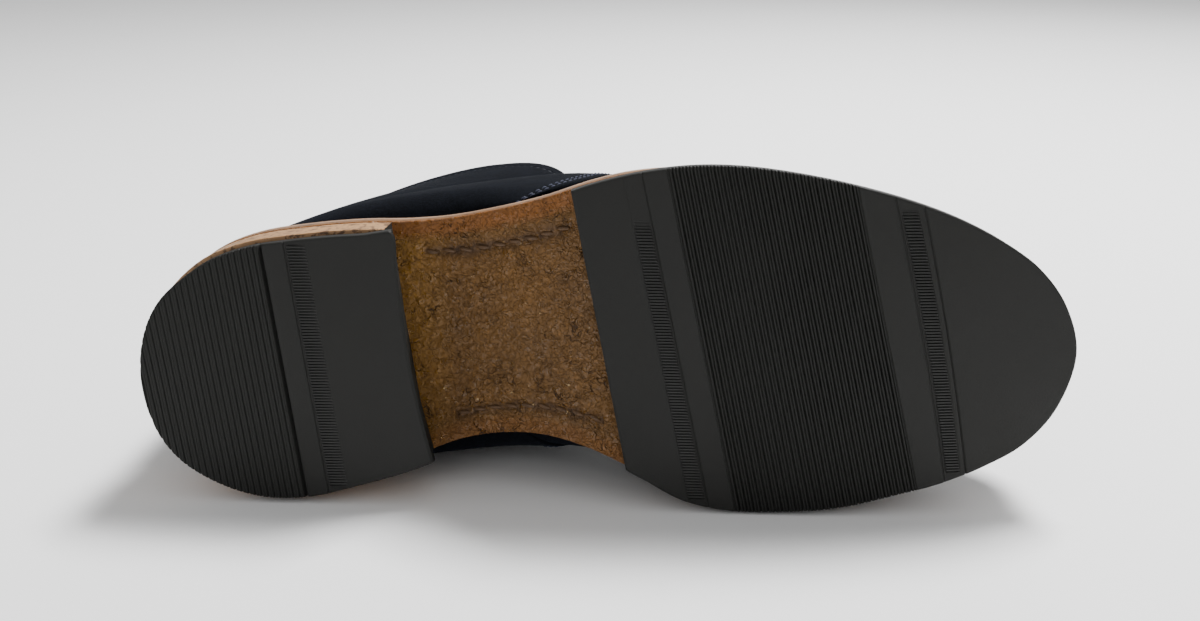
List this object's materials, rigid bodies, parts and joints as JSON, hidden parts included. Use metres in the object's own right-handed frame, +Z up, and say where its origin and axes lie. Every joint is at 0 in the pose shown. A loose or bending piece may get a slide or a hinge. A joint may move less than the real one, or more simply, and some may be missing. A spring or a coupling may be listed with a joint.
{
  "type": "chukka boot",
  "caption": "Ankle-high lace-up boot with a soft suede upper over a heeled walking sole; the ribbed forefoot and heel tip grip the ground, and it lies on its side.",
  "frame": {"origin": "Middle of the bounding box's base, on the floor under the lying boot.", "axes": "+X runs from heel to toe, +Z is up from the floor and is the boot's lateral side, and the sole faces -Y, tipped 5 degrees upward."},
  "size_m": [0.299, 0.144, 0.113],
  "materials": {
    "suede": "matte navy suede",
    "suede_tongue": "matte navy suede",
    "sock_leather": "smooth tan lining leather",
    "welt_strip": "pale natural edge, satin",
    "sole_tan": "amber tan, crinkled, glossy on the high spots",
    "tread_rubber": "matte black moulded rubber",
    "stacked_heel": "pale tan stacked edge with fine dark dashes",
    "heel_rubber": "matte black moulded rubber",
    "lace_cord": "dark woven cord"
  },
  "bodies": {
    "root": {"upper": "suede", "tongue": "suede_tongue", "insole": "sock_leather", "welt": "welt_strip", "outsole": "sole_tan", "forefoot_rubber": "tread_rubber", "heel_stack": "stacked_heel", "heel_top_piece": "heel_rubber", "laces": "lace_cord"}
  },
  "joints": []
}
